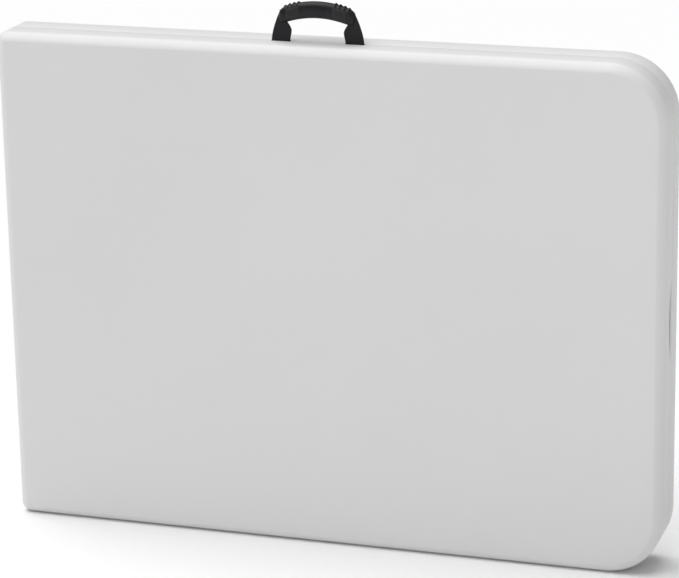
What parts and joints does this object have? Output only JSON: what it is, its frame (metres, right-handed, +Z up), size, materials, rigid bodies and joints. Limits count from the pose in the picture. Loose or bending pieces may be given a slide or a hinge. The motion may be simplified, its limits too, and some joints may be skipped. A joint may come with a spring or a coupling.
{
  "type": "folding table",
  "caption": "Fold-in-half blow-moulded table stored shut on its long edge, with a carry handle, swinging legs and telescopic leg tubes inside.",
  "frame": {"origin": "middle of the standing edge's plane, midway along the shut table and on the seam between its halves", "axes": "+X from the fold hinge to the outer end, -Y out of the front half's table top, +Z up through the carry handle"},
  "size_m": [0.92, 0.09, 0.7417],
  "materials": {
    "panel_plastic": "fine moulded grain",
    "grey_steel": "powder coat",
    "slider_steel": "drawn tube",
    "zinc_steel": "zinc plate",
    "black_plastic": "moulded",
    "handle_plastic": "moulded satin",
    "soft_rubber": "matt"
  },
  "bodies": {
    "front_half": {"front_panel": "panel_plastic", "front_rail_lower": "grey_steel", "front_rail_upper": "grey_steel", "front_rail_caps": "black_plastic", "front_rail_screws": "zinc_steel", "front_cross_tube": "grey_steel", "front_hinge_ears": "zinc_steel", "front_ear_rivets": "zinc_steel", "front_leg_bolts": "zinc_steel", "front_leg_cradles": "black_plastic", "front_brace_bracket": "zinc_steel", "front_bracket_screws": "zinc_steel", "fold_pins": "zinc_steel"},
    "rear_half": {"rear_panel": "panel_plastic", "rear_rail_lower": "grey_steel", "rear_rail_upper": "grey_steel", "rear_rail_caps": "black_plastic", "rear_rail_screws": "zinc_steel", "rear_cross_tube": "grey_steel", "rear_hinge_ears": "zinc_steel", "rear_ear_rivets": "zinc_steel", "rear_leg_bolts": "zinc_steel", "rear_leg_cradles": "black_plastic", "rear_brace_bracket": "zinc_steel", "rear_bracket_screws": "zinc_steel"},
    "front_leg": {"front_leg": "grey_steel", "front_leg_caps": "black_plastic", "front_leg_collars": "black_plastic", "front_brace_catch": "black_plastic"},
    "front_slider": {"front_leg_slider": "slider_steel", "front_feet": "soft_rubber"},
    "front_brace": {"front_brace": "grey_steel"},
    "front_knob_lower": {"front_knob_lower": "black_plastic"},
    "front_knob_upper": {"front_knob_upper": "black_plastic"},
    "rear_leg": {"rear_leg": "grey_steel", "rear_leg_caps": "black_plastic", "rear_leg_collars": "black_plastic", "rear_brace_catch": "black_plastic"},
    "rear_slider": {"rear_leg_slider": "slider_steel", "rear_feet": "soft_rubber"},
    "rear_brace": {"rear_brace": "grey_steel"},
    "rear_knob_lower": {"rear_knob_lower": "black_plastic"},
    "rear_knob_upper": {"rear_knob_upper": "black_plastic"},
    "handle": {"handle_strap": "handle_plastic", "handle_grip": "handle_plastic", "handle_pads": "soft_rubber"}
  },
  "joints": [
    {"name": "table_fold", "type": "hinge", "parent": "front_half", "child": "rear_half", "pos_m": [-0.454, 0, 0.343], "axis": [0, 0, 1], "range_deg": [0, 180]},
    {"name": "front_leg_swing", "type": "hinge", "parent": "front_half", "child": "front_leg", "pos_m": [0.354, -0.01275, 0.343], "axis": [0, 0, -1], "range_deg": [0, 90]},
    {"name": "front_brace_swing", "type": "hinge", "parent": "front_half", "child": "front_brace", "pos_m": [0.026, -0.0195, 0.343], "axis": [0, 0, 1], "range_deg": [0, 37.7]},
    {"name": "front_leg_extend", "type": "slide", "parent": "front_leg", "child": "front_slider", "axis": [-1, 0, 0], "range_m": [0, 0.288]},
    {"name": "front_knob_lower_turn", "type": "hinge", "parent": "front_leg", "child": "front_knob_lower", "pos_m": [-0.012, -0.01275, 0.08], "axis": [0, 0, 1], "continuous": true},
    {"name": "front_knob_upper_turn", "type": "hinge", "parent": "front_leg", "child": "front_knob_upper", "pos_m": [-0.012, -0.01275, 0.606], "axis": [0, 0, 1], "continuous": true},
    {"name": "rear_leg_swing", "type": "hinge", "parent": "rear_half", "child": "rear_leg", "pos_m": [0.354, 0.01275, 0.343], "axis": [0, 0, 1], "range_deg": [0, 90]},
    {"name": "rear_brace_swing", "type": "hinge", "parent": "rear_half", "child": "rear_brace", "pos_m": [0.026, 0.0195, 0.343], "axis": [0, 0, -1], "range_deg": [0, 37.7]},
    {"name": "rear_leg_extend", "type": "slide", "parent": "rear_leg", "child": "rear_slider", "axis": [-1, 0, 0], "range_m": [0, 0.288]},
    {"name": "rear_knob_lower_turn", "type": "hinge", "parent": "rear_leg", "child": "rear_knob_lower", "pos_m": [-0.012, 0.01275, 0.08], "axis": [0, 0, 1], "continuous": true},
    {"name": "rear_knob_upper_turn", "type": "hinge", "parent": "rear_leg", "child": "rear_knob_upper", "pos_m": [-0.012, 0.01275, 0.606], "axis": [0, 0, 1], "continuous": true},
    {"name": "handle_slide", "type": "slide", "parent": "front_half", "child": "handle", "axis": [0, 0, 1], "range_m": [-0.008, 0]}
  ],
  "couplings": [
    {"joint": "front_leg_swing", "follows": "table_fold", "ratio": 0.5},
    {"joint": "front_brace_swing", "follows": "table_fold", "ratio": 0.20944},
    {"joint": "rear_leg_swing", "follows": "table_fold", "ratio": 0.5},
    {"joint": "rear_brace_swing", "follows": "table_fold", "ratio": 0.20944}
  ]
}
